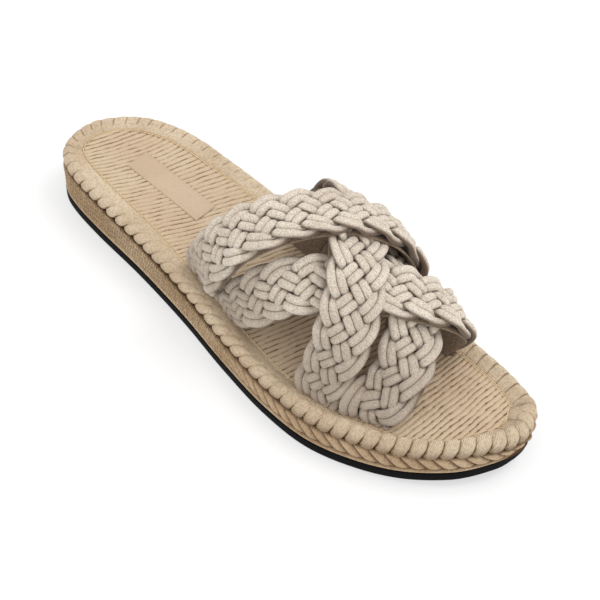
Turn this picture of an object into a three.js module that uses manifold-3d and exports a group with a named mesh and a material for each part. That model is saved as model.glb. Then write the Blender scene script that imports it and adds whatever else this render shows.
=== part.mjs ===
// Rope sandal for the right foot: four plaited cord straps over a moulded rope-look sole.
// Millimetres, +X to the toe, +Y to the big-toe side, +Z up, origin on the floor under the middle.
import * as THREE from 'three';
import { mergeVertices } from 'three/addons/utils/BufferGeometryUtils.js';
import Module from 'manifold-3d';

const wasm = await Module();
wasm.setup();

// Driving sizes of the sole
const soleLength = 260;
const soleWidth = 80;
const outsoleThickness = 6;
const toeSpring = 7.8;
const springStart = 0.755;
const toeTuck = 4.5;
const tuckStart = 0.928;
const rimTopHeight = 28.5;
const rimHeight = 8.5;
const rimWidth = 7.6;
const rimWidthAtToe = 10;
const rimSetback = 1.3;
const insoleThickness = 5;
const rimStep = 1.8;
const ropePitch = 6.7;
const ropeRelief = 1.3;
const wallRows = 3;
const seatGap = 0.3;

// Driving sizes of the straps
const strapWidth = 27;
const strapThickness = 6;
const instepHeight = 50;
const plaitPitch = 12.7;
const plaitRelief = 2.4;
const cordGroove = 0.7;
const edgeBulge = 0.7;
const footClearance = 1.5;

// Driving sizes of the bare panel in the heel of the insole
const panelLength = 46;
const panelWidth = 12;
const panelHeight = 0.5;
const panelCentre = { along: 0.222, across: 0.085 };

// Outline of the sole: shares of the length from the heel, and of the width from the middle
const outlineRows = [
  { along: 0.006, outer: -0.095, inner: 0.128 },
  { along: 0.020, outer: -0.172, inner: 0.206 },
  { along: 0.045, outer: -0.224, inner: 0.303 },
  { along: 0.080, outer: -0.256, inner: 0.381 },
  { along: 0.15, outer: -0.288, inner: 0.455 },
  { along: 0.27, outer: -0.322, inner: 0.480 },
  { along: 0.40, outer: -0.380, inner: 0.485 },
  { along: 0.52, outer: -0.453, inner: 0.476 },
  { along: 0.63, outer: -0.500, inner: 0.489 },
  { along: 0.72, outer: -0.494, inner: 0.500 },
  { along: 0.80, outer: -0.418, inner: 0.487 },
  { along: 0.87, outer: -0.308, inner: 0.462 },
  { along: 0.93, outer: -0.155, inner: 0.420 },
  { along: 0.968, outer: -0.014, inner: 0.372 },
  { along: 0.987, outer: 0.075, inner: 0.277 },
];
const heelTip = { along: 0, across: 0.018 };
const toeTip = { along: 0.995, across: 0.202 };

// Top of the rim: shares of the length and of the height at the heel
const heightRows = [
  { along: 0.00, rise: 1.00 },
  { along: 0.15, rise: 1.00 },
  { along: 0.40, rise: 0.88 },
  { along: 0.60, rise: 0.80 },
  { along: 0.80, rise: 0.81 },
  { along: 0.90, rise: 0.86 },
  { along: 1.00, rise: 0.974 },
];

// Straps, from their foot on the outer side to their foot on the inner side. Each row is a place
// that the middle of the strap passes: shares of the length from the middle, of the width and of
// the instep height over the insole. A foot has its place along the rim. Widths are shares of the
// full width, at the outer foot, over the instep and at the inner foot.
const strapRows = {
  rear_over: {
    feet: [-0.096, 0.194],
    widths: [0.90, 0.93, 0.84],
    rows: [
      { along: -0.050, across: -0.312, rise: 0.50, lean: 0.00 },
      { along: -0.006, across: -0.222, rise: 0.92, lean: 0.00 },
      { along: 0.048, across: 0.022, rise: 1.09, lean: 0.00 },
      { along: 0.108, across: 0.275, rise: 1.03, lean: 0.05 },
      { along: 0.164, across: 0.435, rise: 0.70, lean: 0.05 },
    ],
  },
  rear_under: {
    feet: [-0.024, 0.264],
    widths: [0.72, 0.90, 0.84],
    rows: [
      { along: 0.034, across: -0.292, rise: 0.36, lean: 0.15 },
      { along: 0.088, across: -0.200, rise: 0.66, lean: 0.35 },
      { along: 0.160, across: -0.020, rise: 0.785, lean: 0.45 },
      { along: 0.240, across: 0.190, rise: 0.72, lean: 0.45 },
      { along: 0.292, across: 0.370, rise: 0.43, lean: 0.25 },
    ],
  },
  front_over: {
    feet: [0.208, -0.016],
    widths: [0.80, 0.94, 0.80],
    rows: [
      { along: 0.210, across: -0.200, rise: 0.58, lean: 0.20 },
      { along: 0.180, across: 0.002, rise: 0.895, lean: 0.35 },
      { along: 0.120, across: 0.215, rise: 0.95, lean: 0.35 },
      { along: 0.056, across: 0.405, rise: 0.82, lean: 0.25 },
      { along: 0.004, across: 0.445, rise: 0.48, lean: 0.10 },
    ],
  },
  front_under: {
    feet: [0.300, 0.054],
    widths: [0.90, 0.93, 0.84],
    rows: [
      { along: 0.300, across: -0.160, rise: 0.26, lean: 0.00 },
      { along: 0.284, across: 0.040, rise: 0.46, lean: 0.10 },
      { along: 0.242, across: 0.225, rise: 0.60, lean: 0.20 },
      { along: 0.178, across: 0.365, rise: 0.55, lean: 0.20 },
      { along: 0.110, across: 0.432, rise: 0.36, lean: 0.10 },
    ],
  },
};

// Smooth curve through rows of [place, value]
function through(rows, place) {
  const slope = (i) => {
    const [p0, v0] = rows[Math.max(i - 1, 0)];
    const [p1, v1] = rows[Math.min(i + 1, rows.length - 1)];
    return (v1 - v0) / (p1 - p0);
  };
  let i = 0;
  while (i < rows.length - 2 && rows[i + 1][0] <= place) i += 1;
  const [p0, v0] = rows[i];
  const [p1, v1] = rows[i + 1];
  const span = p1 - p0;
  const t = Math.min(Math.max((place - p0) / span, 0), 1);
  const t2 = t * t;
  const t3 = t2 * t;
  return v0 * (2 * t3 - 3 * t2 + 1) + v1 * (3 * t2 - 2 * t3)
    + span * (slope(i) * (t3 - 2 * t2 + t) + slope(i + 1) * (t3 - t2));
}

// The outline runs once round the sole: from the heel along the outer side to the toe, then back
const outlineCurve = new THREE.CatmullRomCurve3([
  [heelTip.along, heelTip.across],
  ...outlineRows.map((row) => [row.along, row.outer]),
  [toeTip.along, toeTip.across],
  ...outlineRows.map((row) => [row.along, row.inner]).reverse(),
].map(([along, across]) => new THREE.Vector3((along - 0.5) * soleLength, across * soleWidth, 0)), true);
outlineCurve.arcLengthDivisions = 1200;

const wrap = (turn) => turn - Math.floor(turn);

// Place at a share of the way round, and moved in from the edge by an inset
function edgePoint(turn, inset = 0) {
  const inward = inwardNormal(turn);
  return outlineCurve.getPointAt(wrap(turn)).addScaledVector(inward, inset);
}

function inwardNormal(turn) {
  const along = outlineCurve.getTangentAt(wrap(turn));
  return new THREE.Vector3(-along.y, along.x, 0);
}

// Share of the way round at a place along the sole, on its outer or inner side
function turnAt(x, outer) {
  let [low, high] = outer ? [0.02, 0.48] : [0.98, 0.52];
  for (let i = 0; i < 24; i += 1) {
    const middle = (low + high) / 2;
    if (edgePoint(middle).x < x) low = middle;
    else high = middle;
  }
  return (low + high) / 2;
}

const twists = 2 * Math.round(outlineCurve.getLength() / ropePitch / 2);
const edgeTurns = Array.from({ length: twists }, (_, i) => i / twists);

// Heights along the sole
const shareOf = (x) => x / soleLength + 0.5;

function floorHeight(x) {
  const past = Math.max(shareOf(x) - springStart, 0) / (1 - springStart);
  return toeSpring * past * past;
}

function rimTop(x) {
  return through(heightRows.map((row) => [row.along, row.rise]), shareOf(x)) * rimTopHeight;
}

const insoleTop = (x) => rimTop(x) - rimStep;
const deckTop = (x) => insoleTop(x) - insoleThickness - seatGap;
const wallTop = (x) => rimTop(x) - rimHeight - seatGap;
const wallFoot = (x) => floorHeight(x) + outsoleThickness + seatGap;

function rimWidthAt(x) {
  return THREE.MathUtils.lerp(rimWidth, rimWidthAtToe, THREE.MathUtils.smoothstep(shareOf(x), 0.9, 1));
}

// How far the foot of the side tucks in under the toe
function tuckAt(x) {
  const past = Math.max(shareOf(x) - tuckStart, 0) / (1 - tuckStart);
  return toeTuck * past * past;
}

// One closed turn of points round the sole, at an inset from its edge
function ring(inset, height) {
  return edgeTurns.map((turn) => {
    const deep = typeof inset === 'function' ? inset(edgePoint(turn).x) : inset;
    const point = edgePoint(turn, deep);
    return [point.x, point.y, height(point.x)];
  });
}

// Closed solid through rings from the bottom up, capped by rungs from side to side
function layered(rings) {
  const count = rings[0].length;
  const corners = [];
  const last = (rings.length - 1) * count;
  for (let r = 0; r < rings.length - 1; r += 1) {
    for (let i = 0; i < count; i += 1) {
      const a = r * count + i;
      const b = r * count + (i + 1) % count;
      corners.push(a, b, b + count, a, b + count, a + count);
    }
  }
  for (let i = 0; i < count / 2; i += 1) {
    const outer = [i, i + 1];
    const inner = [(count - i) % count, count - i - 1];
    if (i > 0) {
      corners.push(outer[0], inner[0], outer[1]);
      corners.push(last + outer[0], last + outer[1], last + inner[0]);
    }
    if (i < count / 2 - 1) {
      corners.push(outer[1], inner[0], inner[1]);
      corners.push(last + outer[1], last + inner[1], last + inner[0]);
    }
  }
  return meshShape(rings.flat(), corners);
}

function meshShape(points, corners) {
  const geometry = new THREE.BufferGeometry();
  geometry.setAttribute('position', new THREE.Float32BufferAttribute(points.flat(), 3));
  geometry.setIndex(corners);
  return geometry;
}

// Joins and cuts
function solid(geometry) {
  const bare = geometry.clone();
  bare.deleteAttribute('normal');
  bare.deleteAttribute('uv');
  const merged = mergeVertices(bare, 1e-4);
  return new wasm.Manifold(new wasm.Mesh({
    numProp: 3,
    vertProperties: new Float32Array(merged.attributes.position.array),
    triVerts: new Uint32Array(merged.index.array),
  }));
}

function geometryOf(body) {
  const mesh = body.getMesh();
  const geometry = new THREE.BufferGeometry();
  geometry.setAttribute('position', new THREE.Float32BufferAttribute(mesh.vertProperties, 3));
  geometry.setIndex(new THREE.Uint32BufferAttribute(mesh.triVerts, 1));
  return geometry;
}

// Black rubber sheet under the whole sole, with a rounded lower edge
function outsole() {
  const edgeRound = 0.7;
  return layered([
    ring((x) => tuckAt(x) + edgeRound, floorHeight),
    ring(tuckAt, (x) => floorHeight(x) + edgeRound),
    ring((x) => tuckAt(x) * 0.9 + 0.2, (x) => floorHeight(x) + outsoleThickness),
  ]);
}

// Moulded middle sole: a thin lip, rows of fine rope round its side, a shelf for the rim and a deck
function midsole() {
  const lipHeight = 1.2;
  const lipInset = 0.3;
  const rowCrest = 0.9;
  const rowValley = 2.0;
  const side = (inset, share) => ring(
    (x) => inset + tuckAt(x) * 0.9 * (1 - share),
    (x) => THREE.MathUtils.lerp(wallFoot(x), wallTop(x), share),
  );
  const lip = lipHeight / (rimTopHeight - rimHeight - outsoleThickness);
  const rings = [side(lipInset, 0), side(lipInset, lip)];
  for (let row = 0; row < wallRows; row += 1) {
    for (const [inset, part] of [[rowValley, 0.1], [rowCrest, 0.55]]) {
      rings.push(side(inset, lip + (1 - lip) * (row + part) / wallRows));
    }
  }
  const inner = (x) => rimWidthAt(x) + seatGap;
  rings.push(side(rowValley, 1), ring(inner, wallTop), ring(inner, deckTop));
  return layered(rings);
}

// Plaited rope rim: a row of slanting twists that bulge between grooves. Each row of its section
// is a share of the rim's width and height, how much of the groove it takes, and how far the
// twist has advanced round the sole there, in pitches.
const rimSection = [
  { across: 1.00, up: 0.00, groove: 0.00, advance: 0.00 },
  { across: 1.00, up: 0.80, groove: 0.00, advance: 0.00 },
  { across: 0.80, up: 0.97, groove: 0.60, advance: 0.60 },
  { across: 0.48, up: 1.00, groove: 1.00, advance: 0.30 },
  { across: 0.14, up: 0.84, groove: 1.00, advance: 0.00 },
  { across: 0.00, up: 0.50, groove: 1.00, advance: -0.20 },
  { across: 0.10, up: 0.18, groove: 0.80, advance: -0.10 },
  { across: 0.26, up: 0.00, groove: 0.00, advance: 0.00 },
];

function ropeRim() {
  const count = twists * 2;
  const points = [];
  const corners = [];
  const section = rimSection.length;
  for (let k = 0; k < count; k += 1) {
    const grooved = k % 2 === 1 ? ropeRelief : 0;
    for (const row of rimSection) {
      const turn = (k / 2 + row.advance) / twists;
      const width = rimWidthAt(edgePoint(turn).x) - rimSetback;
      const deep = grooved * row.groove;
      const inset = rimSetback + width * row.across + deep * Math.max(1 - row.across * 2, 0);
      const point = edgePoint(turn, inset);
      const drop = deep * Math.max(row.up * 2 - 1, 0);
      points.push([point.x, point.y, rimTop(point.x) - rimHeight * (1 - row.up) - drop]);
    }
    for (let j = 0; j < section; j += 1) {
      const a = k * section + j;
      const b = k * section + (j + 1) % section;
      const c = ((k + 1) % count) * section + (j + 1) % section;
      const d = ((k + 1) % count) * section + j;
      corners.push(a, b, c, a, c, d);
    }
  }
  return meshShape(points, corners);
}

// Frame of a strap: its middle line, and the way out of the foot at each place
function strapFrame(strap) {
  const halfThickness = strapThickness / 2;
  const foot = (along, outer) => {
    const turn = turnAt(along * soleLength, outer);
    const inset = rimWidthAt(edgePoint(turn).x) + footClearance + halfThickness;
    const point = edgePoint(turn, inset);
    const out = inwardNormal(turn).negate();
    const low = new THREE.Vector3(point.x, point.y, deckTop(point.x) + seatGap * 5);
    const high = new THREE.Vector3(point.x, point.y, rimTop(point.x) + halfThickness / 2);
    return { low, high, out };
  };
  const first = foot(strap.feet[0], true);
  const final = foot(strap.feet[1], false);
  const places = [first.low, first.high];
  const ways = [first.out, first.out];
  for (const row of strap.rows) {
    const x = row.along * soleLength;
    const y = row.across * soleWidth;
    places.push(new THREE.Vector3(x, y, insoleTop(x) + row.rise * instepHeight));
    ways.push(new THREE.Vector3(row.lean, y / instepHeight, row.rise).normalize());
  }
  places.push(final.high, final.low);
  ways.push(final.out, final.out);
  const line = new THREE.CatmullRomCurve3(places);
  const out = new THREE.CatmullRomCurve3(ways);
  const length = line.getLength();
  const [outerWidth, middleWidth, innerWidth] = strap.widths;
  const widthRows = [[0, outerWidth], [0.25, middleWidth], [0.75, middleWidth], [1, innerWidth]];
  const place = (way, across, up) => {
    const share = Math.min(Math.max(way / length, 0), 1);
    const t = line.getUtoTmapping(share);
    const tangent = line.getTangent(t);
    const side = new THREE.Vector3().crossVectors(tangent, out.getPoint(t)).normalize();
    const normal = new THREE.Vector3().crossVectors(side, tangent);
    const wide = across * strapWidth * through(widthRows, share);
    return line.getPoint(t).addScaledVector(side, wide).addScaledVector(normal, up);
  };
  return { place, length };
}

// One plaited strap: a wall with its strips raised. The visible crossings are slanting tiles in
// four columns, each a strip of two cords side by side, with one column's strips leaning one way
// and the next column's the other way.
const columns = 4;

function strapSolid(strap) {
  const { place, length } = strapFrame(strap);
  const rows = Math.round(length / plaitPitch);
  const pitch = length / rows;
  const tileWide = 1 / (columns + 1);
  const high = strapThickness / 2;
  const valley = high - plaitRelief;
  const points = [];
  const corners = [];
  const known = new Map();
  const vertex = (key, way, across, up) => {
    if (!known.has(key)) {
      known.set(key, points.length);
      const p = place(way, across, up);
      points.push([p.x, p.y, p.z]);
    }
    return known.get(key);
  };
  const lane = (j) => (j - 1.5) * tileWide;
  const corner = (j, half) => vertex(`c${j},${half}`, half * pitch / 2, lane(j), valley);
  const face = (...list) => {
    for (let i = 1; i < list.length - 1; i += 1) corners.push(list[0], list[i], list[i + 1]);
  };

  // Raised tiles; half counts half pitches from the start
  const tile = (j, half) => {
    const leansBack = j % 2 === 0;
    const at = (along, over, up) => {
      const [a, b] = leansBack ? [-over, along] : [along, over];
      const across = lane(j) + (a - b) * tileWide / 2;
      const way = (half + (a + b) / 2) * pitch / 2;
      return vertex(`t${j},${half},${along},${over}`, way, across, up);
    };
    const [end, side] = [0.78, 0.5];
    const crest = [at(-end, -side, high), at(end, -side, high), at(end, side, high), at(-end, side, high)];
    const groove = [at(-end, 0, high - cordGroove), at(end, 0, high - cordGroove)];
    const near = corner(j, half - 1);
    const far = corner(j, half + 1);
    const left = corner(j - 1, half);
    const right = corner(j + 1, half);
    const round = leansBack ? [right, far, left, near] : [near, right, far, left];
    face(round[0], round[1], crest[1], crest[0]);
    face(round[1], round[2], crest[2], groove[1], crest[1]);
    face(round[2], round[3], crest[3], crest[2]);
    face(round[3], round[0], crest[0], groove[0], crest[3]);
    face(crest[0], crest[1], groove[1], groove[0]);
    face(groove[0], groove[1], crest[2], crest[3]);
  };
  for (let j = 0; j < columns; j += 1) {
    for (let half = 1; half < rows * 2; half += 1) {
      if ((half + j) % 2 === 1) tile(j, half);
    }
    if (j % 2 === 1) {
      face(corner(j - 1, 0), corner(j + 1, 0), corner(j, 1));
      face(corner(j + 1, rows * 2), corner(j - 1, rows * 2), corner(j, rows * 2 - 1));
    }
  }

  // Scalloped borders, the sides of the wall and its plain underside
  const border = (side, half) => {
    const j = side < 0 ? -1 : columns;
    if ((half + j) % 2 === 0) return corner(j, half);
    const bulge = half === 0 || half === rows * 2 ? 0 : edgeBulge / strapWidth;
    return vertex(`b${side},${half}`, half * pitch / 2, side * 0.5 + side * bulge, valley);
  };
  const under = (side, half) => vertex(`u${side},${half}`, half * pitch / 2, side * 0.47, -high);
  for (let half = 0; half < rows * 2; half += 1) {
    const [l0, l1, r0, r1] = [border(-1, half), border(-1, half + 1), border(1, half), border(1, half + 1)];
    if (half % 2 === 0) {
      face(l0, corner(0, half), l1);
      face(r0, r1, corner(columns - 1, half + 1));
    } else {
      face(l0, corner(0, half + 1), l1);
      face(r0, r1, corner(columns - 1, half));
    }
    const [lu0, lu1, ru0, ru1] = [under(-1, half), under(-1, half + 1), under(1, half), under(1, half + 1)];
    face(l0, l1, lu1, lu0);
    face(r0, ru0, ru1, r1);
    face(lu0, lu1, ru1, ru0);
  }
  const cap = (half) => {
    const top = [border(-1, half), corner(0, half), corner(2, half), border(1, half)];
    const list = [under(-1, half), under(1, half), ...top.reverse()];
    face(...(half === 0 ? list : list.reverse()));
  };
  cap(0);
  cap(rows * 2);
  return meshShape(points, corners);
}

// Block through the sole's outline, at an inset, between two heights
function block(inset, low, high) {
  return solid(layered([ring(inset, low), ring(inset, high)]));
}

// The upper: four straps joined where they cross, cut clear of the rim they come up behind
function upper() {
  const straps = Object.values(strapRows).map((strap) => solid(strapSolid(strap)));
  const joined = straps.reduce((all, strap) => all.add(strap));
  const band = block(-strapThickness, wallTop, (x) => rimTop(x) + seatGap);
  const well = block((x) => rimWidthAt(x) + seatGap, floorHeight, (x) => rimTop(x) + rimHeight);
  return geometryOf(joined.subtract(band.subtract(well)));
}

// Insole: a pad inside the rim, with a slot at each strap foot and a bare raised panel at the heel
function insole() {
  const edge = (x) => rimWidthAt(x) + seatGap;
  const edgeRound = 0.8;
  let pad = solid(layered([
    ring(edge, (x) => deckTop(x) + seatGap),
    ring(edge, (x) => insoleTop(x) - edgeRound),
    ring((x) => edge(x) + edgeRound, insoleTop),
  ]));
  const panel = new THREE.BoxGeometry(panelLength, panelWidth, insoleThickness, 8);
  panel.translate((panelCentre.along - 0.5) * soleLength, panelCentre.across * soleWidth, 0);
  const corners = panel.attributes.position;
  for (let i = 0; i < corners.count; i += 1) {
    const above = corners.getZ(i) > 0 ? panelHeight : -insoleThickness / 2;
    corners.setZ(i, insoleTop(corners.getX(i)) + above);
  }
  pad = pad.add(solid(panel));
  const deep = strapThickness + footClearance + seatGap * 2;
  const beyond = rimWidth / 2;
  for (const strap of Object.values(strapRows)) {
    for (const [side, width] of [[0, strap.widths[0]], [1, strap.widths[2]]]) {
      const turn = turnAt(strap.feet[side] * soleLength, side === 0);
      const point = edgePoint(turn, rimWidthAt(edgePoint(turn).x) + (deep - beyond) / 2);
      const inward = inwardNormal(turn);
      const wide = strapWidth * width + edgeBulge * 2 + seatGap * 2;
      const slot = new THREE.BoxGeometry(wide, deep + beyond, insoleThickness * 4);
      slot.rotateZ(Math.atan2(inward.y, inward.x) - Math.PI / 2);
      slot.translate(point.x, point.y, insoleTop(point.x));
      pad = pad.subtract(solid(slot));
    }
  }
  const offcutsLast = pad.decompose().sort((a, b) => b.volume() - a.volume());
  return geometryOf(offcutsLast[0]);
}

const finishes = {
  outsole: { color: 0x151415, roughness: 0.75 },
  midsole: { color: 0xb8935f, roughness: 0.85 },
  rope_rim: { color: 0xdcc49c, roughness: 0.85 },
  insole: { color: 0xcfb48c, roughness: 0.9 },
  upper: { color: 0xd9d0c4, roughness: 0.95 },
};

const sandal = new THREE.Group();
for (const [name, shape] of Object.entries({ outsole, midsole, rope_rim: ropeRim, insole, upper })) {
  const mesh = new THREE.Mesh(shape(), new THREE.MeshStandardMaterial({ ...finishes[name], metalness: 0 }));
  mesh.name = name;
  sandal.add(mesh);
}

// The origin is on the floor, under the middle of the whole sandal
const middle = new THREE.Box3().setFromObject(sandal).getCenter(new THREE.Vector3());
for (const mesh of sandal.children) mesh.geometry.translate(-middle.x, -middle.y, 0);

export default sandal;
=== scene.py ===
import math

import bmesh
import bpy
import numpy as np
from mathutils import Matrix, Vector


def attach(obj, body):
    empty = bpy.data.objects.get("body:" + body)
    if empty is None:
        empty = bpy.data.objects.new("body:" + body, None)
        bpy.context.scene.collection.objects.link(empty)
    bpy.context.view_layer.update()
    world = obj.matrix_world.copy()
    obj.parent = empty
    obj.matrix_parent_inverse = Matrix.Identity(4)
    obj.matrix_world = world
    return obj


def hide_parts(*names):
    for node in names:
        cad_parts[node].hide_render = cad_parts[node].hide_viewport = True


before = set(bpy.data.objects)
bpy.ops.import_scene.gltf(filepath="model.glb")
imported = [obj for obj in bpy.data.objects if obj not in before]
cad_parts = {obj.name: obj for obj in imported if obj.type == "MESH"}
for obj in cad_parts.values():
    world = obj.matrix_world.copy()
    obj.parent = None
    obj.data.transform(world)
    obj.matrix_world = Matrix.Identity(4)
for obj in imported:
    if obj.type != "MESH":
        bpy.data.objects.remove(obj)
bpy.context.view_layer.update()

# All sizes below are millimetres, as in the CAD model, and MM turns them into Blender's metres.
MM = 0.001

# Sole
sole_length = 260
sole_width = 80
outsole_thickness = 6
toe_spring = 7.8
spring_start = 0.755
toe_tuck = 4.5
tuck_start = 0.928
rim_top_height = 28.5
rim_height = 8.5
rim_width = 7.6
rim_width_at_toe = 10
rim_setback = 1.3
rim_step = 1.8
insole_thickness = 5
seat_gap = 0.3
rope_pitch = 6.7

# Straps
strap_width = 27
strap_thickness = 6
instep_height = 50
plait_pitch = 12.7
foot_clearance = 1.5

# From the middle of the last, in which the curves are drawn, to the middle of the CAD model's box
origin_shift = (1.2919, -0.7461)

# Outline of the sole: along from the heel, outer side, inner side
outline_rows = [
    (0.006, -0.095, 0.128), (0.020, -0.172, 0.206), (0.045, -0.224, 0.303),
    (0.080, -0.256, 0.381), (0.15, -0.288, 0.455), (0.27, -0.322, 0.480),
    (0.40, -0.380, 0.485), (0.52, -0.453, 0.476), (0.63, -0.500, 0.489),
    (0.72, -0.494, 0.500), (0.80, -0.418, 0.487), (0.87, -0.308, 0.462),
    (0.93, -0.155, 0.420), (0.968, -0.014, 0.372), (0.987, 0.075, 0.277),
]
heel_tip = (0, 0.018)
toe_tip = (0.995, 0.202)

# Top of the rim along the sole, as shares of its height at the heel
height_rows = [
    (0, 1), (0.15, 1), (0.40, 0.88), (0.60, 0.80), (0.80, 0.81), (0.90, 0.86), (1, 0.974),
]

# Straps: feet along the outer and inner rim, shares of the strap's width at the two feet and
# between them, then the places the middle passes (along, across, rise, lean)
strap_rows = {
    "rear_over": ((-0.096, 0.194), (0.90, 0.93, 0.84), [
        (-0.050, -0.312, 0.50, 0.00), (-0.006, -0.222, 0.92, 0.00), (0.048, 0.022, 1.09, 0.00),
        (0.108, 0.275, 1.03, 0.05), (0.164, 0.435, 0.70, 0.05)]),
    "rear_under": ((-0.024, 0.264), (0.72, 0.90, 0.84), [
        (0.034, -0.292, 0.36, 0.15), (0.088, -0.200, 0.66, 0.35), (0.160, -0.020, 0.785, 0.45),
        (0.240, 0.190, 0.72, 0.45), (0.292, 0.370, 0.43, 0.25)]),
    "front_over": ((0.208, -0.016), (0.80, 0.94, 0.80), [
        (0.210, -0.200, 0.58, 0.20), (0.180, 0.002, 0.895, 0.35), (0.120, 0.215, 0.95, 0.35),
        (0.056, 0.405, 0.82, 0.25), (0.004, 0.445, 0.48, 0.10)]),
    "front_under": ((0.300, 0.054), (0.90, 0.93, 0.84), [
        (0.300, -0.160, 0.26, 0.00), (0.284, 0.040, 0.46, 0.10), (0.242, 0.225, 0.60, 0.20),
        (0.178, 0.365, 0.55, 0.20), (0.110, 0.432, 0.36, 0.10)]),
}


# ---------------------------------------------------------------- camera

def look_from(azimuth, elevation, distance, target, lens):
    """Camera at the photograph's viewing angle."""
    a, e = math.radians(azimuth), math.radians(elevation)
    back = Vector((math.sin(a) * math.cos(e), -math.cos(a) * math.cos(e), math.sin(e)))
    data = bpy.data.cameras.new("camera")
    data.lens = lens
    data.sensor_width = 36
    camera = bpy.data.objects.new("camera", data)
    camera.location = Vector(target) + back * distance
    camera.rotation_euler = back.to_track_quat("Z", "Y").to_euler()
    bpy.context.scene.collection.objects.link(camera)
    bpy.context.scene.camera = camera


look_from(azimuth=44.3, elevation=51, distance=0.667, target=(0.00229, 0.01425, 0), lens=90)


# ---------------------------------------------------------------- the last's curves

def smooth_curve(points, closed=False, samples=4000):
    """Centripetal Catmull-Rom curve through the points, as a table of places."""
    points = np.array(points, float)
    count = len(points)
    spans = count if closed else count - 1
    if closed:
        table = points[np.arange(-1, count + 2) % count]
    else:
        table = np.vstack([2 * points[0] - points[1], points, 2 * points[-1] - points[-2]])
    t = np.linspace(0, spans, samples + 1)
    i = np.minimum(t.astype(int), spans - 1)
    w = (t - i)[:, None]
    p0, p1, p2, p3 = (table[i + k] for k in range(4))

    def knot(a, b):
        return np.sqrt(np.linalg.norm(b - a, axis=1))[:, None]

    d0, d1, d2 = knot(p0, p1), knot(p1, p2), knot(p2, p3)
    d1 = np.where(d1 < 1e-4, 1, d1)
    d0 = np.where(d0 < 1e-4, d1, d0)
    d2 = np.where(d2 < 1e-4, d1, d2)
    m1 = ((p1 - p0) / d0 - (p2 - p0) / (d0 + d1) + (p2 - p1) / d1) * d1
    m2 = ((p2 - p1) / d1 - (p3 - p1) / (d1 + d2) + (p3 - p2) / d2) * d1
    return (p1 + m1 * w + (3 * (p2 - p1) - 2 * m1 - m2) * w ** 2
            + (2 * (p1 - p2) + m1 + m2) * w ** 3)


def lengths_of(table):
    return np.concatenate([[0], np.cumsum(np.linalg.norm(np.diff(table, axis=0), axis=1))])


def pick(table, places, at):
    """Row of a table at each place."""
    return np.stack([np.interp(at, places, column) for column in table.T], axis=-1)


def through(rows, place):
    """Smooth curve through rows of (place, value)."""
    p, v = (np.array(column, float) for column in zip(*rows))
    slope = np.empty(len(p))
    slope[1:-1] = (v[2:] - v[:-2]) / (p[2:] - p[:-2])
    slope[0] = (v[1] - v[0]) / (p[1] - p[0])
    slope[-1] = (v[-1] - v[-2]) / (p[-1] - p[-2])
    place = np.clip(place, p[0], p[-1])
    i = np.clip(np.searchsorted(p, place, side="right") - 1, 0, len(p) - 2)
    span = p[i + 1] - p[i]
    t = (place - p[i]) / span
    return (v[i] * (2 * t ** 3 - 3 * t ** 2 + 1) + v[i + 1] * (3 * t ** 2 - 2 * t ** 3)
            + span * (slope[i] * (t ** 3 - 2 * t ** 2 + t) + slope[i + 1] * (t ** 3 - t ** 2)))


def ease(value, low, high):
    """Smooth step from 0 at low to 1 at high."""
    t = np.clip((value - low) / (high - low), 0, 1)
    return t * t * (3 - 2 * t)


outline = smooth_curve(
    [((a - 0.5) * sole_length, b * sole_width) for a, b in
     [heel_tip] + [(r[0], r[1]) for r in outline_rows]
     + [toe_tip] + [(r[0], r[2]) for r in reversed(outline_rows)]],
    closed=True, samples=6400)
outline_ways = lengths_of(outline)
outline_length = outline_ways[-1]
outline_turns = outline_ways / outline_length
outline_steps = np.roll(outline[:-1], -1, axis=0) - np.roll(outline[:-1], 1, axis=0)
outline_steps = np.vstack([outline_steps, outline_steps[:1]])
outline_inward = np.stack([-outline_steps[:, 1], outline_steps[:, 0]], axis=1)
outline_inward /= np.linalg.norm(outline_inward, axis=1)[:, None]
twists = 2 * round(outline_length / rope_pitch / 2)


def edge(turn, inset=0.0):
    """Place on the sole's outline at a share of the way round, moved in by an inset."""
    turn = np.mod(turn, 1)
    inward = pick(outline_inward, outline_turns, turn)
    inward /= np.linalg.norm(inward, axis=-1, keepdims=True)
    return pick(outline, outline_turns, turn) + inward * np.asarray(inset)[..., None]


def inward_at(turn):
    inward = pick(outline_inward, outline_turns, np.mod(turn, 1))
    return inward / np.linalg.norm(inward, axis=-1, keepdims=True)


def turn_at(x, outer):
    side = (outline_turns > 0.02) & (outline_turns < 0.48)
    if not outer:
        side = (outline_turns > 0.52) & (outline_turns < 0.98)
    order = np.argsort(outline[side, 0])
    return np.interp(x, outline[side, 0][order], outline_turns[side][order])


def share_of(x):
    return x / sole_length + 0.5


def floor_height(x):
    return toe_spring * (np.maximum(share_of(x) - spring_start, 0) / (1 - spring_start)) ** 2


def rim_top(x):
    return through(height_rows, share_of(x)) * rim_top_height


def insole_top(x):
    return rim_top(x) - rim_step


def deck_top(x):
    return insole_top(x) - insole_thickness - seat_gap


def wall_top(x):
    return rim_top(x) - rim_height - seat_gap


def wall_foot(x):
    return floor_height(x) + outsole_thickness


def rim_width_at(x):
    return rim_width + (rim_width_at_toe - rim_width) * ease(share_of(x), 0.9, 1)


def tuck_at(x):
    return toe_tuck * (np.maximum(share_of(x) - tuck_start, 0) / (1 - tuck_start)) ** 2


def wander(a, b, seed):
    """Gentle unevenness between -1 and 1, as hand work has."""
    return (np.sin(a * 1.0 + b * 0.37 + seed) * np.sin(b * 1.31 - a * 0.23 + seed * 2.3)
            + 0.5 * np.sin(a * 2.7 + b * 1.9 + seed * 0.7)) / 1.5


# ---------------------------------------------------------------- making pieces

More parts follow.
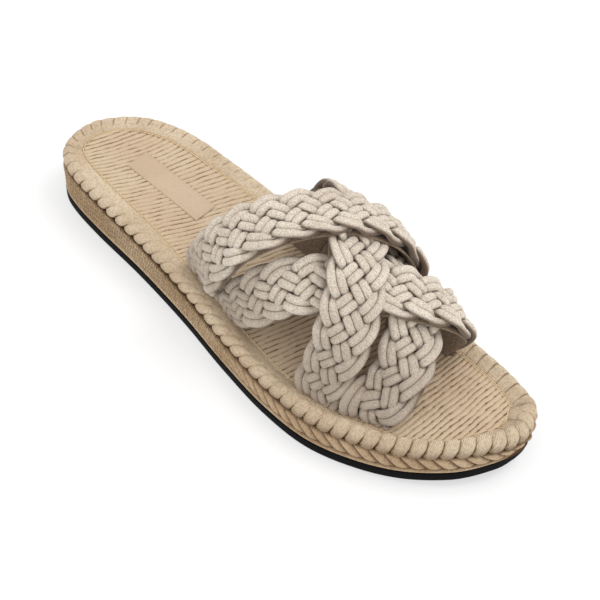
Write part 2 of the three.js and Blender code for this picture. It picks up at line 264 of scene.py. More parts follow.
def grid_mesh(name, around, along, shape, marks=(), uv=None):
    """Mesh shaped from a grid: shape takes the grid's two shares and gives places in mm.
    marks are vertex attributes by name, uv a pair of values, both from the same shares."""
    sheet = bmesh.new()
    bmesh.ops.create_grid(sheet, x_segments=around, y_segments=along, size=0.5)
    mesh = bpy.data.meshes.new(name)
    sheet.to_mesh(mesh)
    sheet.free()
    flat = np.empty(len(mesh.vertices) * 3, np.float32)
    mesh.vertices.foreach_get("co", flat)
    flat = flat.reshape(-1, 3).astype(float)
    a = np.round((flat[:, 0] + 0.5) * around) / around
    b = np.round((flat[:, 1] + 0.5) * along) / along
    places = np.asarray(shape(a, b), float)
    places[:, 0] += origin_shift[0]
    places[:, 1] += origin_shift[1]
    mesh.vertices.foreach_set("co", (places * MM).astype(np.float32).ravel())
    for mark, value in dict(marks).items():
        layer = mesh.attributes.new(mark, "FLOAT", "POINT")
        layer.data.foreach_set("value", np.asarray(value(a, b), np.float32))
    if uv is not None:
        u, v = (np.asarray(part, np.float32) for part in uv(a, b))
        corners = np.empty(len(mesh.loops), np.int32)
        mesh.loops.foreach_get("vertex_index", corners)
        layer = mesh.uv_layers.new(name="pattern")
        layer.data.foreach_set("uv", np.stack([u[corners], v[corners]], axis=1).ravel())
    weld(mesh)
    return mesh


def grid_piece(name, around, along, shape, marks=(), uv=None):
    return piece_of(name, grid_mesh(name, around, along, shape, marks, uv))


def tube_piece(name, tubes, around, along):
    """One piece of many tubes; each tube is a shape, its marks and its uv."""
    work = bmesh.new()
    for shape, marks, uv in tubes:
        tube = grid_mesh(name + "_tube", around, along, shape, marks, uv)
        work.from_mesh(tube)
        bpy.data.meshes.remove(tube)
    mesh = bpy.data.meshes.new(name)
    work.to_mesh(mesh)
    work.free()
    mesh.shade_smooth()
    return piece_of(name, mesh)


def weld(mesh):
    """Closes the seams and poles of a wrapped grid and turns its faces outwards."""
    work = bmesh.new()
    work.from_mesh(mesh)
    bmesh.ops.remove_doubles(work, verts=work.verts, dist=0.008 * MM)
    bmesh.ops.dissolve_degenerate(work, edges=work.edges, dist=0.002 * MM)
    bmesh.ops.recalc_face_normals(work, faces=work.faces)
    work.to_mesh(mesh)
    work.free()
    mesh.shade_smooth()


def piece_of(name, mesh):
    piece = bpy.data.objects.new(name, mesh)
    bpy.context.scene.collection.objects.link(piece)
    return piece


def finish_piece(piece, material, slot, *nodes):
    piece.data.materials.clear()
    piece.data.materials.append(material)
    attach(piece, "root")
    if nodes:
        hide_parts(*nodes)


def closed_cords(name, paths, radius, sides):
    """Round cords along closed paths in mm, made a mesh."""
    curve = bpy.data.curves.new(name, "CURVE")
    curve.dimensions = "3D"
    curve.bevel_depth = radius * MM
    curve.bevel_resolution = sides
    for path in paths:
        path = path + np.array([origin_shift[0], origin_shift[1], 0])
        spline = curve.splines.new("POLY")
        spline.points.add(len(path) - 1)
        flat = np.hstack([path * MM, np.ones((len(path), 1))])
        spline.points.foreach_set("co", flat.ravel())
        spline.use_cyclic_u = True
    wire = bpy.data.objects.new(name + "_line", curve)
    bpy.context.scene.collection.objects.link(wire)
    graph = bpy.context.evaluated_depsgraph_get()
    mesh = bpy.data.meshes.new_from_object(wire.evaluated_get(graph))
    mesh.name = name
    bpy.data.objects.remove(wire)
    bpy.data.curves.remove(curve)
    mesh.shade_smooth()
    return piece_of(name, mesh)


# ---------------------------------------------------------------- materials

def tone(red, green, blue):
    """Linear colour of a screen colour."""
    def linear(value):
        value /= 255
        return value / 12.92 if value <= 0.04045 else ((value + 0.055) / 1.055) ** 2.4
    return linear(red), linear(green), linear(blue), 1


class Finish:
    """A procedural material and short ways to add its nodes."""

    def __init__(self, name, roughness, sheen=0.0, specular=0.3):
        self.material = bpy.data.materials.new(name)
        self.material.use_nodes = True
        self.tree = self.material.node_tree
        self.shader = self.tree.nodes["Principled BSDF"]
        self.shader.inputs["Roughness"].default_value = roughness
        self.shader.inputs["Sheen Weight"].default_value = sheen
        self.shader.inputs["Sheen Roughness"].default_value = 0.6
        self.shader.inputs["Specular IOR Level"].default_value = specular
        self.object_place = self.node("ShaderNodeTexCoord").outputs["Object"]

    def node(self, kind, **settings):
        node = self.tree.nodes.new(kind)
        for key, value in settings.items():
            setattr(node, key, value)
        return node

    def feed(self, node, **values):
        """Sets or links a node's sockets, named, or numbered as _0, _1 and so on."""
        for key, value in values.items():
            by_number = key[1:].isdigit()
            socket = node.inputs[int(key[1:]) if by_number else key.replace("_", " ")]
            if isinstance(value, bpy.types.NodeSocket):
                self.tree.links.new(value, socket)
            else:
                socket.default_value = value
        return node

    def math(self, operation, a, b=0.0, c=0.0):
        node = self.node("ShaderNodeMath", operation=operation)
        return self.feed(node, _0=a, _1=b, _2=c).outputs[0]

    def between(self, value, low, high, to_low=0.0, to_high=1.0):
        """Smooth step of a value between two others."""
        node = self.node("ShaderNodeMapRange", interpolation_type="SMOOTHSTEP")
        return self.feed(node, Value=value, From_Min=low, From_Max=high, To_Min=to_low,
                         To_Max=to_high).outputs[0]

    def noise(self, scale, detail):
        node = self.node("ShaderNodeTexNoise")
        return self.feed(node, Vector=self.object_place, Scale=scale, Detail=detail).outputs["Fac"]

    def mark(self, name):
        """A vertex attribute that the piece's shape gives."""
        return self.node("ShaderNodeAttribute", attribute_name=name).outputs["Fac"]

    def pattern(self):
        """The two values of the piece's own UV map."""
        split = self.node("ShaderNodeSeparateXYZ")
        self.feed(split, Vector=self.node("ShaderNodeUVMap", uv_map="pattern").outputs[0])
        return split.outputs[0], split.outputs[1]

    def mix(self, factor, a, b):
        node = self.node("ShaderNodeMix", data_type="RGBA")
        for socket, value in ((node.inputs[0], factor), (node.inputs[6], a), (node.inputs[7], b)):
            if isinstance(value, bpy.types.NodeSocket):
                self.tree.links.new(value, socket)
            else:
                socket.default_value = value
        return node.outputs[2]

    def colour(self, socket):
        self.tree.links.new(socket, self.shader.inputs["Base Color"])

    def bump(self, height, depth, after=None):
        """Bump of a depth in mm."""
        node = self.node("ShaderNodeBump")
        node.inputs["Distance"].default_value = depth * MM
        self.tree.links.new(height, node.inputs["Height"])
        if after is not None:
            self.tree.links.new(after, node.inputs["Normal"])
        self.tree.links.new(node.outputs[0], self.shader.inputs["Normal"])
        return node.outputs[0]


def cotton_cord():
    """Soft undyed cotton cord: a fine knitted fleck, lint, and painted shade on flanks, in dips and
    low down.
    """
    cream, oatmeal, lint_white = tone(233, 222, 206), tone(219, 206, 189), tone(236, 228, 216)
    fleck_brown, painted_dip_shade, painted_foot_shade = tone(158, 140, 121), tone(94, 71, 50), tone(120, 99, 77)
    finish = Finish("cotton_cord", 0.95, sheen=0.25, specular=0.15)
    fleck = finish.noise(1700, 3)
    patch = finish.noise(90, 2)
    lint = finish.noise(420, 4)
    base = finish.mix(finish.between(patch, 0.3, 0.7), cream, oatmeal)
    base = finish.mix(finish.between(fleck, 0.35, 0.60, 0.6, 0.0), base, fleck_brown)
    base = finish.mix(finish.between(lint, 0.55, 0.75, 0.0, 0.35), base, lint_white)
    # Painted shade on the cords' flanks and where they dip under the next, by the crest mark
    base = finish.mix(finish.between(finish.mark("crest"), -0.05, 0.74, 0.92, 0.0), base, painted_dip_shade)
    # Painted shade, browner toward the strap's outer foot, by the low mark
    base = finish.mix(finish.math("MULTIPLY", finish.mark("low"), 0.55), base, painted_foot_shade)
    finish.colour(base)
    finish.bump(fleck, 0.28, finish.bump(lint, 0.25))
    return finish.material


def strap_lining():
    """Brown-grey woven lining under the straps."""
    brown, grey = tone(112, 93, 74), tone(142, 122, 100)
    finish = Finish("strap_lining", 0.9, sheen=0.2, specular=0.2)
    weave = finish.noise(1500, 2)
    finish.colour(finish.mix(finish.between(weave, 0.35, 0.65), brown, grey))
    finish.bump(weave, 0.15)
    return finish.material


def rope_finish(name, light, dark, shade_and_fleck, clear, yarns, yarn_shade):
    """Moulded rope: light on its crests, with dark brown painted shade in its grooves, in the
    hollows of its folds and between the fine yarns laid round it; the same brown flecks it and
    darkens it where the low mark is high. clear is how high on the ridge the painted shade ends,
    yarns their number in a turn."""
    finish = Finish(name, 0.66, specular=0.3)
    u, v = finish.pattern()
    crest = finish.mark("crest")
    patch = finish.noise(45, 3)
    speck = finish.noise(900, 2)
    base = finish.mix(finish.between(patch, 0.35, 0.65), light, dark)
    # Darker where the low mark is high: painted shade low down the rim's outer side, the wall's
    # front row browner
    base = finish.mix(finish.math("MULTIPLY", finish.mark("low"), 0.45), base, shade_and_fleck)
    # Painted shade in the grooves, by the crest mark, up the ridge as far as clear
    base = finish.mix(finish.between(crest, 0.1, clear, 0.9, 0.0), base, shade_and_fleck)
    crumple = finish.noise(620, 3)
    # Painted shade in the hollows of the folds, where the crumple bump is low
    base = finish.mix(finish.between(crumple, 0.36, 0.50, 0.08, 0.0), base, shade_and_fleck)
    base = finish.mix(finish.between(speck, 0.35, 0.6, 0.22, 0.0), base, shade_and_fleck)
    yarn = finish.math("SINE", finish.math("ADD", finish.math("MULTIPLY", u, 2 * math.pi * yarns),
                                           finish.math("MULTIPLY", v, 9.0)))
    yarn = finish.math("MULTIPLY", yarn, finish.mark("yarn"))
    base = finish.mix(finish.between(yarn, -1.0, 0.1, yarn_shade, 0.0), base, shade_and_fleck)
    finish.colour(base)
    # Most crumpled low down, where the mark is highest
    folds = finish.math("MULTIPLY", crumple, finish.math("ADD", finish.mark("low"), 0.35))
    finish.bump(yarn, 0.25, finish.bump(folds, 0.9))
    return finish.material


def footbed_finish():
    """Moulded footbed: fine ribs with thin grooves, and short dark dots staggered along them."""
    light, dark = tone(212, 192, 162), tone(206, 181, 153)
    line_brown, dot_brown, speck_brown = tone(132, 104, 74), tone(92, 74, 54), tone(150, 122, 92)
    finish = Finish("footbed", 0.7, specular=0.3)
    u, v = finish.pattern()
    u = finish.math("MULTIPLY_ADD", finish.noise(230, 2), 0.5, finish.math("SUBTRACT", u, 0.25))
    row = finish.math("ROUND", u)
    apart = finish.math("ABSOLUTE", finish.math("SUBTRACT", u, row))
    groove = finish.between(apart, 0.02, 0.22, 1.0, 0.0)
    wobble = finish.noise(170, 2)
    place = finish.math("ADD", finish.math("ADD", v, finish.math("MULTIPLY", row, 0.5)),
                        finish.math("MULTIPLY", wobble, 0.9))
    dot = finish.between(finish.math("PINGPONG", place, 0.5), 0.34, 0.45)
    # Patches where the groove lines and dots are fainter
    fading = finish.noise(160, 2)
    slit = finish.math("MULTIPLY", finish.math("MULTIPLY", groove, dot), finish.mark("dots"))
    slit = finish.math("MULTIPLY", slit, finish.between(fading, 0.3, 0.6, 0.35, 1.0))
    line = finish.math("MULTIPLY", groove, finish.between(fading, 0.35, 0.65, 0.25, 0.9))
    patch = finish.noise(38, 3)
    speck = finish.noise(1000, 2)
    base = finish.mix(finish.between(patch, 0.3, 0.7), light, dark)
    base = finish.mix(line, base, line_brown)
    base = finish.mix(finish.math("MULTIPLY", slit, 0.38), base, dot_brown)
    base = finish.mix(finish.between(speck, 0.35, 0.6, 0.15, 0.0), base, speck_brown)
    finish.colour(base)
    finish.bump(finish.math("MULTIPLY", slit, -1.0), 0.3, finish.bump(speck, 0.08))
    return finish.material


def thread_finish():
    """Pale moulded seam line round the footbed."""
    pale, straw = tone(226, 204, 170), tone(205, 178, 140)
    finish = Finish("seam_line", 0.7, specular=0.3)
    speck = finish.noise(1200, 2)
    finish.colour(finish.mix(finish.between(speck, 0.3, 0.7), pale, straw))
    finish.bump(speck, 0.1)
    return finish.material


def panel_finish():
    """Smooth bare panel, barely grained and a touch glossier than the footbed."""
    light, dark, grain_brown = tone(205, 182, 155), tone(199, 175, 148), tone(165, 135, 102)
    finish = Finish("heel_panel", 0.5, specular=0.35)
    grain = finish.noise(1500, 3)
    patch = finish.noise(60, 2)
    base = finish.mix(finish.between(patch, 0.3, 0.7), light, dark)
    finish.colour(finish.mix(finish.between(grain, 0.4, 0.62, 0.18, 0.0), base, grain_brown))
    finish.bump(grain, 0.06)
    return finish.material


def rubber_finish():
    """Matt black rubber with a fine pebble and faint dust."""
    black, dusty = tone(4, 4, 4), tone(12, 12, 12)
    finish = Finish("black_rubber", 0.8, specular=0.12)
    grain = finish.noise(1300, 3)
    dust = finish.noise(70, 3)
    finish.colour(finish.mix(finish.between(dust, 0.45, 0.75, 0.0, 0.5), black, dusty))
    finish.bump(grain, 0.12)
    return finish.material


def floor_finish():
    """Matt white studio floor, faintly lit from below as a light table is."""
    finish = Finish("studio_floor", 0.9, specular=0.1)
    shade, light = (0.44, 0.44, 0.44, 1), (0.47, 0.47, 0.47, 1)
    finish.colour(finish.mix(finish.noise(12, 2), shade, light))
    finish.shader.inputs["Emission Color"].default_value = (1, 1, 1, 1)
    finish.shader.inputs["Emission Strength"].default_value = 0.56
    return finish.material


# ---------------------------------------------------------------- straps

cord_half_wide = 1.84
cord_half_thick = 1.6
cord_apart = 1.80
cord_lift = 1.5
cord_end = 1.5
cord_ring_step = 0.8
cord_sides = 12
cord_height_wobble = 0.12
cord_side_wobble = 0.10
cord_width_wobble = 0.04
# A strand zigzags over the lanes; turn_start lanes from the middle it starts to round off the
# zigzag's tip, so that it comes no farther out than turn_peak
turn_start = 1.2
zigzag_tip = 2.5
turn_peak = (zigzag_tip + turn_start) / 2
lift_firmness = 2.0

lining_share = 0.88
lining_gap = 0.2
lining_thickness = 0.8


def strap_frame(rows):
    """Frame of a strap: way along it, across it and up from it, all in mm, to a place."""
    feet, widths, middle = rows
    half = strap_thickness / 2

    def foot(along, outer):
        turn = turn_at(along * sole_length, outer)
        x = edge(turn)[0]
        point = edge(turn, rim_width_at(x) + foot_clearance + half)
        out = -inward_at(turn)
        low = (point[0], point[1], deck_top(point[0]) + seat_gap * 5)
        high = (point[0], point[1], rim_top(point[0]) + half / 2)
        return low, high, (out[0], out[1], 0)

    first, final = foot(feet[0], True), foot(feet[1], False)
    places, ways = [first[0], first[1]], [first[2], first[2]]
    for along, across, rise, lean in middle:
        x, y = along * sole_length, across * sole_width
        places.append((x, y, insole_top(x) + rise * instep_height))
        way = np.array([lean, y / instep_height, rise])
        ways.append(tuple(way / np.linalg.norm(way)))
    places += [final[1], final[0]]
    ways += [final[2], final[2]]
    line, out = smooth_curve(places), smooth_curve(ways)
    reach = lengths_of(line)
    tangent = np.gradient(line, axis=0)
    tangent /= np.linalg.norm(tangent, axis=1)[:, None]
    side = np.cross(tangent, out)
    side /= np.linalg.norm(side, axis=1)[:, None]
    normal = np.cross(side, tangent)
    width_rows = [(0, widths[0]), (0.25, widths[1]), (0.75, widths[1]), (1, widths[2])]

    def width(way):
        return strap_width * through(width_rows, np.clip(way / reach[-1], 0, 1))

    def place(way, across, up):
        spot = pick(line, reach, way)
        spot = spot + pick(side, reach, way) * np.asarray(across)[..., None]
        return spot + pick(normal, reach, way) * np.asarray(up)[..., None]

    return place, width, reach[-1]


def plait_path(way, start, pitch):
    """One strand of a flat plait of five at each way along: how far across, in lanes, its lift,
    and the plain wave that the lift is made from."""
    q = np.mod((way - start) / pitch, 5)
    zigzag = np.where(q < 2, -1.5 + 2 * q, np.where(q < 4.5, 6.5 - 2 * q, 2 * q - 11.5))
    size = np.abs(zigzag)
    turn = np.maximum(size - turn_start, 0) ** 2 / (2 * (zigzag_tip - turn_start))
    legs = [q < 1.5, q < 2.5, q < 4.0]
    wave = np.select(legs, [-np.cos(2 * np.pi * q), np.cos(np.pi * (q - 1.5)),
                            -np.cos(2 * np.pi * (q - 2.5))], np.cos(np.pi * (q - 4)))
    lift = np.tanh(lift_firmness * wave) / math.tanh(lift_firmness)
    return np.sign(zigzag) * (size - turn), lift, wave


def strap(name, rows, seed):
    """Flat plait of five doubled cords, with its lining."""
    place, width, length = strap_frame(rows)
    pitch = length / round(length / plait_pitch)

    def lane(way):
        return (width(way) / 2 - cord_half_wide - cord_apart) / turn_peak

    def cord(strand, side):
        start = pitch * (0.5 + strand)

        def across_at(way):
            return plait_path(way, start, pitch)[0] * lane(way)

        def shape(a, b):
            way = a * length
            across, lift = plait_path(way, start, pitch)[:2]
            across = across * lane(way)
            slope = (across_at(way + 0.1) - across_at(way - 0.1)) / 0.2
            root = np.sqrt(1 + slope ** 2)
            full = np.sqrt(np.clip(np.minimum(a, 1 - a) * length / cord_end, 0, 1))
            uneven = wander(way / 5, strand + side * 0.3, seed)
            half = cord_half_wide * full * (1 + cord_width_wobble * uneven)
            wide = side * (cord_apart + cord_side_wobble * uneven) + np.cos(2 * np.pi * b) * half
            up = lift * cord_lift + np.sin(2 * np.pi * b) * cord_half_thick * full
            up = up + cord_height_wobble * uneven
            return place(np.clip(way - slope * wide / root, 0, length), across + wide / root, up)

        def crest(a, b):
            """Painted-shade mask: high on a cord's top, low on its flanks and where it dips under
            the next.
            """
            across, lift, wave = plait_path(a * length, start, pitch)
            between_two = np.maximum(-side * np.cos(2 * np.pi * b), 0)
            dip = (1 - ease(wave, -0.3, 0.7)) * (1 - ease(np.abs(across), 1.2, 1.75))
            return np.sin(2 * np.pi * b) * 0.8 + lift * 0.2 + 0.12 * between_two - 0.42 * dip

        def low(a, b):
            """Painted shade toward the outer foot: full there, gone 62 mm up the strap."""
            return 1 - ease(a * length, 10, 62)

        return shape, {"crest": crest, "low": low}, lambda a, b: (a * length, b)

    tubes = [cord(strand, side) for strand in range(5) for side in (-1, 1)]
    plait = tube_piece("plait_" + name, tubes, int(length / cord_ring_step), cord_sides)
    finish_piece(plait, cotton, "upper", "upper")

    def under(a, b):
        wide = (a - 0.5) * width(b * length) * lining_share
        down = np.full_like(a, -cord_lift - cord_half_thick - lining_gap)
        return place(b * length, wide, down)

    strip = grid_piece("lining_" + name, 8, 90, under)
    thick = strip.modifiers.new("thickness", "SOLIDIFY")
    thick.thickness = lining_thickness * MM
    thick.offset = 0
    finish_piece(strip, lining, "upper")


# ---------------------------------------------------------------- sole

def bump_of(phase, power=2.2):
    """Rounded ridge between grooves at the whole numbers: 0 in a groove, 1 on the crest."""
    off = np.abs(2 * np.mod(phase, 1) - 1)
    return np.sqrt(np.maximum(1 - off ** power, 0))


# Section of the rim between its pillows, from its inner edge over the top and down the outside:
# across, up, and how far the strand has advanced there at the heel and at the toe, in pitches
rim_rows = [
    (1.40, 0.60, 0.55, 0.05), (1.30, 0.79, 0.55, 0.08), (1.12, 0.86, 0.50, 0.12),
    (0.90, 0.91, 0.44, 0.16), (0.66, 0.92, 0.34, 0.18), (0.44, 0.84, 0.20, 0.16),
    (0.29, 0.68, 0.05, 0.10), (0.23, 0.46, -0.08, -0.02), (0.26, 0.24, -0.16, -0.12),
    (0.36, 0.05, -0.20, -0.18), (0.60, -0.03, -0.10, -0.10), (0.95, 0.10, 0.10, 0.00),
    (1.30, 0.35, 0.35, 0.03),
]
rim_section = smooth_curve(rim_rows, closed=True, samples=650)
rim_section_places = np.linspace(0, 1, 651)
rim_row_count = len(rim_rows)

pillow_height = 1.6
band_height = 0.32
roll_height = 1.25
rim_wobble = 0.10


def band_cut(turn):
    """How far the flat band inside the pillows is left out: wholly at the outer side's front."""
    turn = np.mod(turn, 1)
    return ease(turn, 0.35, 0.43) * (1 - ease(turn, 0.44, 0.53))


def rolled(turn):
    """Where the rim is a smooth roll with lines across it: behind and on the inner side."""
    turn = np.mod(turn, 1)
    return 1 - ease(turn, 0.01, 0.12) * (1 - ease(turn, 0.485, 0.56))


def rim_shape(a, b):
    """Places on the rim, and its marks: crest, toe and low. place counts the section's rows, from
    the rim's inner edge outwards."""
    row = pick(rim_section, rim_section_places, b)
    place = b * rim_row_count
    x = edge(a)[:, 0]
    toe = ease(share_of(x), 0.50, 0.70)
    waist = ease(share_of(x), 0.2, 0.35) * (1 - ease(share_of(x), 0.64, 0.8))
    smooth = rolled(a)
    cut = band_cut(a)
    advance = row[:, 2] * (1.9 - 0.9 * smooth) * (1 - toe) + row[:, 3] * toe
    turn = a + advance / twists
    width = rim_width_at(x) - rim_setback
    reach = 1 - cut * ease(row[:, 0], 0.4, 1.2) * 0.45

    # Plump pillows over the outer shoulder
    first = 3.8 - 0.8 * toe
    last = 8.6 + 0.7 * toe
    off = np.abs(2 * np.mod(a * twists, 1) - 1)
    ends = np.abs(place - (first + last) / 2) / ((last - first) / 2)
    pillow = np.sqrt(np.maximum(1 - off ** 2.3 - ends ** (2.2 + 2.2 * toe), 0))

    # Flatter strands, or only lines, across the band inside them
    lines = 0.12 + 0.68 * ease(place, 2.6, 4.4) + 0.2 * toe
    lines = np.maximum(lines, 0.8 * smooth * ease(place, 2.0, 3.4))
    lines = np.maximum(lines, 0.75 * toe)
    band = 1 - (1 - bump_of(a * twists)) * lines
    band = band * ease(place, 0.4, 1.2) * (1 - ease(place, 8.6, 9.6))

    proud = pillow * (pillow_height - 0.1 * toe) * (1 - 0.85 * smooth) * (1 - 0.4 * waist)
    proud = proud + band * (band_height + 0.4 * cut)
    proud = proud + smooth * roll_height * ease(place, 3.4, 4.8) * (1 - ease(place, 8, 9.2))
    proud = proud + rim_wobble * wander(a * twists * 2.1, b * 9, 0.9) * ease(place, 0.4, 1.2)

    ahead = pick(rim_section, rim_section_places, np.mod(b + 0.004, 1))
    behind = pick(rim_section, rim_section_places, np.mod(b - 0.004, 1))
    da = (ahead[:, 0] - behind[:, 0]) * width
    du = (ahead[:, 1] - behind[:, 1]) * rim_height
    size = np.hypot(da, du)
    flat = edge(turn, rim_setback + width * row[:, 0] * reach + proud * du / size)
    spot = np.empty((len(a), 3))
    spot[:, :2] = flat
    spot[:, 2] = rim_top(flat[:, 0]) - rim_height * (1 - row[:, 1]) - proud * da / size

    # Painted shade: crest is low in the grooves, and the band beside the pillows is painted a
    # little browner than they are, as shade; grooves fade on it
    aside = 0.42 * (1 - toe) * (1 - smooth) * ease(place, 1.0, 2.6)
    crest = np.maximum(pillow, band * (1 - (1 - toe) * ease(place, 5.2, 6.6)) * (1 - aside))
    shade = np.maximum(0.25 + 0.75 * ease(place, 4.8, 6.6), np.maximum(0.8 * cut, smooth))
    crest = 1 - (1 - crest) * shade * (1 - 0.3 * waist)
    # low paints shade low down the outer side, and sets how crumpled the rope is there
    low = ease(place, 5.6, 8.0) * (1 + 0.5 * toe)
    return spot, crest, toe, low


def rope_rim():
    piece = grid_piece(
        "rope_edge", twists * 12, 52,
        lambda a, b: rim_shape(a, b)[0],
        marks={"crest": lambda a, b: rim_shape(a, b)[1],
               "yarn": lambda a, b: 0.3 + 0.2 * rim_shape(a, b)[2],
               "low": lambda a, b: rim_shape(a, b)[3]},
        uv=lambda a, b: (a * twists, b * 6))
    finish_piece(piece, rope, "rope_rim", "rope_rim")


# Side wall: share of its section that is seen, and of its height that is the plain lip
wall_face = 0.76
wall_lip = 0.12
wall_lip_inset = 0.35
wall_groove_inset = 2.5
wall_strand_height = 2.1
wall_back_inset = 4.0
# Pitches that a strand of the wall runs along over its height at the heel, and how many fewer it
# does in front
wall_lean = 3.8
wall_lean_lost = 2.9


def wall_front(x):
    """How far the wall has turned from rows of strands, as at the heel, to the one slanting row."""
    return ease(share_of(x), 0.44, 0.62)


def wall_strand(a, rise, front):
    """Which strand of the wall a place lies on. Each starts under a gap of the rim and runs down
    and along: slowly at the heel, where several lie one over the other, steeply in front."""
    return a * twists + 0.6 + (rise - 1) * (wall_lean - wall_lean_lost * front)


def wall_shape(a, b):
    """Side of the midsole: a lip, then rows of fine rope behind and one slanting row in front."""
    face = np.clip(b / wall_face, 0, 1)
    back = np.clip((b - wall_face) / (1 - wall_face), 0, 1)
    x = edge(a)[:, 0]
    front = wall_front(x)
    rise = np.clip((face - wall_lip) / (1 - wall_lip), 0, 1)
    strand = wall_strand(a, rise, front)
    closing = np.clip(1 - front * np.abs(2 * rise - 1) ** 5, 0, 1) ** 0.5
    slant = bump_of(strand, 1.5 + 0.7 * front) * closing
    fine = np.sin(2 * np.pi * (a * twists * 6 + strand * 1.4))
    crest = slant * (1 - 0.12 * (1 - front) * (1 - fine))
    on_lip = 1 - ease(face, wall_lip - 0.02, wall_lip + 0.02)
    inset = wall_lip_inset * on_lip
    inset = inset + (1 - on_lip) * (wall_groove_inset - wall_strand_height * crest)
    inset = inset + tuck_at(x) * 0.9 * (1 - face)
    inset = inset + wall_back_inset * np.sqrt(np.sin(np.pi * back)) * (back > 0)
    spot = np.empty((len(a), 3))
    spot[:, :2] = edge(a, inset)
    low, high = wall_foot(spot[:, 0]), wall_top(spot[:, 0]) + 0.8 + 0.8 * front
    spot[:, 2] = low + (high - low) * (face - back)
    return spot, np.maximum(crest, on_lip), strand


def side_wall():
    # crest darkens the gaps between the strands with painted shade; low makes the front row darker
    # and more crumpled
    piece = grid_piece(
        "rope_wall", twists * 20, 42,
        lambda a, b: wall_shape(a, b)[0],
        marks={"crest": lambda a, b: wall_shape(a, b)[1],
               "yarn": lambda a, b: 1 - 0.8 * wall_front(edge(a)[:, 0]),
               "low": lambda a, b: 0.7 * wall_front(edge(a)[:, 0])},
        uv=lambda a, b: (a * twists, wall_shape(a, b)[2]))
    finish_piece(piece, wall_rope, "midsole", "midsole")


def slab(a, b, side, top, inset_at):
    """Section of a slab from heel to toe: up the outer side, over the top, down the inner side and
    back below. side and top are the shares of the section that they take. inset_at gives the
    slab's inset from the outline at a turn and a rise."""
    outer_turn, inner_turn = a / 2, 1 - a / 2
    up = np.clip(b / side, 0, 1)
    over = np.clip((b - side) / top, 0, 1)
    down = np.clip((b - side - top) / side, 0, 1)
    back = np.clip((b - 2 * side - top) / (1 - 2 * side - top), 0, 1)
    rise = up - down
    outer = edge(outer_turn, inset_at(outer_turn, rise))
    inner = edge(inner_turn, inset_at(inner_turn, rise))
    way = np.where(b <= 2 * side + top, over, 1 - back)
    flat = outer + (inner - outer) * way[:, None]
    return flat, rise, way


sole_rounding = 0.7
tread_pitch = 6.0
tread_waves = 6
tread_depth = 0.9


def outsole_shape(a, b):
    side, top = 0.07, 0.12

    def inset_at(turn, rise):
        rounding = sole_rounding * np.clip(1 - rise * outsole_thickness / sole_rounding, 0, 1) ** 2
        return tuck_at(edge(turn)[:, 0]) * (1 - 0.1 * rise) + 0.2 * rise + rounding

    flat, rise, way = slab(a, b, side, top, inset_at)
    below = b > 2 * side + top
    spot = np.empty((len(a), 3))
    spot[:, :2] = flat
    # Generic tread: shallow wavy grooves across the sole, clear of its edge
    wave = 0.35 * np.sin(flat[:, 1] / sole_width * 2 * np.pi * tread_waves)
    groove = ease(np.abs(2 * np.mod(flat[:, 0] / tread_pitch + wave, 1) - 1), 0.55, 0.85)
    clear = ease(np.minimum(way, 1 - way), 0.06, 0.10)
    clear = clear * ease(a, 0.03, 0.05) * (1 - ease(a, 0.95, 0.97))
    tread = np.where(below, groove * clear, 0) * tread_depth
    spot[:, 2] = floor_height(flat[:, 0]) + outsole_thickness * rise + tread
    return spot


def outsole():
    piece = grid_piece("black_sole", 420, 84, outsole_shape)
    finish_piece(piece, rubber, "outsole", "outsole")


# Ribs of the footbed: how many to a mm at the heel and at the toe, how deep and how uneven, and
# their slant along the sole
rib_density = (0.37, 0.44)
rib_depth = 0.7
rib_wobble = 0.30
footbed_depth = 4.2
footbed_wobble = 0.25
dot_spacing = 5.2
slant_rows = [
    (0, 0.48), (0.12, 0.48), (0.30, 0.46), (0.45, 0.42), (0.58, 0.30), (0.72, 0.18), (0.85, 0.07),
    (1, 0.03),
]


def rib_phase(x, y):
    """Which rib of the footbed a place lies on; ribs slant at the heel and straighten in front."""
    share = share_of(x)
    slant = through(slant_rows, share)
    twist = 0.55 * (1 - ease(share, 0.14, 0.38))
    lean = slant * y - twist * y ** 2 / sole_width
    at = x - lean + rib_wobble * wander(x / 7, y / 6, 1.7)
    low, high = rib_density
    return at * low + (high - low) * (share_of(at) ** 2) / 2 * sole_length


def rib_dots(x, y):
    """How clear the dark dots are: clear in front, faint at the heel, most so on its outer side."""
    return 1 - (1 - ease(share_of(x), 0.25, 0.45)) * (0.85 - 0.25 * ease(y, -12, 4))


def footbed_inset(turn, rise):
    """Inset of the rim's inner edge, to which the footbed reaches at every rise."""
    x = edge(turn)[:, 0]
    return rim_width_at(x) + 0.6 - 2.6 * band_cut(turn)


def footbed_shape(a, b):
    side, top = 0.04, 0.84
    flat, rise, way = slab(a, b, side, top, footbed_inset)
    on_top = (b >= side) & (b <= side + top)
    x, y = flat[:, 0], flat[:, 1]
    ribs = bump_of(rib_phase(x, y), 1.9)
    reach = np.linalg.norm(edge(a / 2) - edge(1 - a / 2), axis=1) * np.minimum(way, 1 - way)
    clear = ease(reach, 2.2, 4.0)
    near_tip = ease(a, 0.0, 0.015) * (1 - ease(a, 0.985, 1.0))
    relief = np.where(on_top, (ribs - 1) * rib_depth * clear * near_tip, 0)
    uneven = footbed_wobble * wander(x / 16, y / 11, 0.4) * near_tip * clear
    spot = np.empty((len(a), 3))
    spot[:, :2] = flat
    spot[:, 2] = insole_top(x) - footbed_depth * (1 - rise) + relief
    spot[:, 2] += np.where(on_top, uneven, 0)
    return spot


seam_insets = (2.2, 3.1)
seam_radius = 0.28
seam_height = 0.05
seam_points = 620


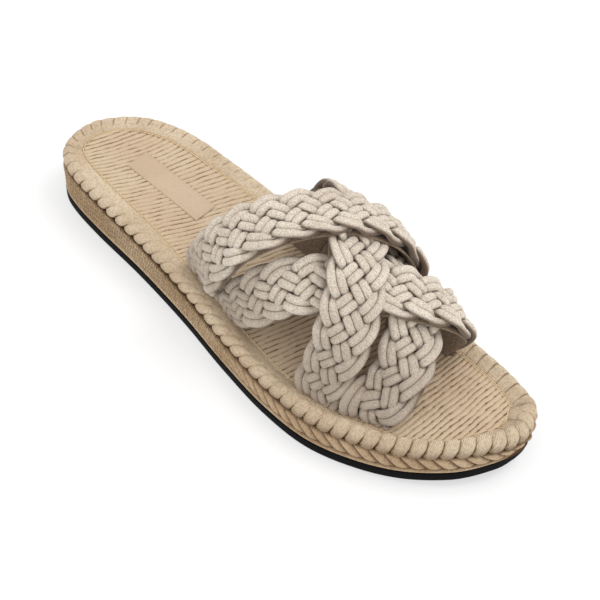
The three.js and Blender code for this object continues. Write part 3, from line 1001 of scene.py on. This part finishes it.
def footbed():
    """Footbed, and the two fine lines moulded round its edge."""
    def ribs_uv(a, b):
        spot = footbed_shape(a, b)
        return rib_phase(spot[:, 0], spot[:, 1]), spot[:, 1] / dot_spacing

    def dots(a, b):
        spot = footbed_shape(a, b)
        return rib_dots(spot[:, 0], spot[:, 1])

    piece = grid_piece("ribbed_footbed", 780, 70, footbed_shape, marks={"dots": dots}, uv=ribs_uv)
    finish_piece(piece, footbed_material, "insole", "insole")

    lines = []
    for inset in seam_insets:
        turn = np.linspace(0, 1, seam_points, endpoint=False)
        x = edge(turn)[:, 0]
        flat = edge(turn, rim_width_at(x) + inset - 4.2 * band_cut(turn))
        lines.append(np.column_stack([flat, insole_top(flat[:, 0]) + seam_height]))
    seam = closed_cords("seam_lines", lines, seam_radius, sides=1)
    finish_piece(seam, thread, "insole")


panel_length = 46
panel_width = 12
panel_along = 0.222
panel_across = 0.085
panel_height = 0.75
panel_rounding = 0.9
panel_thickness = 1.4
panel_sink = 0.15
border_depth = 0.14
border_inset = 1.5
border_width = 0.28


def heel_panel():
    """Bare raised panel with a rounded edge and a fine border pressed into it."""
    def shape(a, b):
        half_long, half_wide = panel_length / 2, panel_width / 2
        u, v = (a - 0.5) * 2, (b - 0.5) * 2
        x = (panel_along - 0.5) * sole_length + u * half_long
        y = panel_across * sole_width + v * half_wide
        edge_way = np.minimum((1 - np.abs(u)) * half_long, (1 - np.abs(v)) * half_wide)
        round_way = 1 - np.clip(edge_way / panel_rounding, 0, 1)
        rise = panel_height * np.sqrt(np.clip(1 - round_way ** 2, 0, 1))
        rise -= border_depth * np.exp(-((edge_way - border_inset) / border_width) ** 2)
        return np.column_stack([x, y, insole_top(x) + rise - panel_sink])
    piece = grid_piece("heel_panel", 150, 50, shape)
    thick = piece.modifiers.new("thickness", "SOLIDIFY")
    thick.thickness = panel_thickness * MM
    thick.offset = -1
    finish_piece(piece, panel_material, "insole")


# ---------------------------------------------------------------- studio

def studio():
    """Pale floor, one large soft key light, a weaker fill, and an even white surround."""
    sheet = bmesh.new()
    bmesh.ops.create_grid(sheet, x_segments=2, y_segments=2, size=4)
    mesh = bpy.data.meshes.new("floor")
    sheet.to_mesh(mesh)
    sheet.free()
    ground = piece_of("floor", mesh)
    ground.data.materials.append(floor_finish())

    def lamp(name, place, size, power):
        data = bpy.data.lights.new(name, "AREA")
        data.shape = "DISK"
        data.size = size
        data.energy = power
        light = bpy.data.objects.new(name, data)
        light.location = place
        light.rotation_euler = Vector(place).to_track_quat("Z", "Y").to_euler()
        bpy.context.scene.collection.objects.link(light)

    lamp("key", place=(0.5, 0.6, 1.5), size=0.8, power=9)
    lamp("fill", place=(-0.1, -1.1, 0.75), size=1.0, power=1.7)
    world = bpy.data.worlds.new("studio")
    world.use_nodes = True
    surround = world.node_tree.nodes["Background"]
    surround.inputs["Color"].default_value = (1, 1, 1, 1)
    surround.inputs["Strength"].default_value = 0.85
    bpy.context.scene.world = world
    bpy.context.scene.view_settings.view_transform = "Standard"


# ---------------------------------------------------------------- the sandal

cotton = cotton_cord()
lining = strap_lining()
rope = rope_finish(
    "rope_rim", light=tone(228, 208, 179), dark=tone(214, 191, 161), shade_and_fleck=tone(122, 90, 58),
    clear=0.75, yarns=7, yarn_shade=0.4)
wall_rope = rope_finish(
    "rope_wall", light=tone(236, 207, 168), dark=tone(214, 182, 142), shade_and_fleck=tone(84, 55, 32),
    clear=0.98, yarns=4.5, yarn_shade=0.42)
footbed_material = footbed_finish()
thread = thread_finish()
panel_material = panel_finish()
rubber = rubber_finish()

for seed, (strap_name, strap_row) in enumerate(strap_rows.items()):
    strap(strap_name, strap_row, seed)
rope_rim()
side_wall()
outsole()
footbed()
heel_panel()
studio()
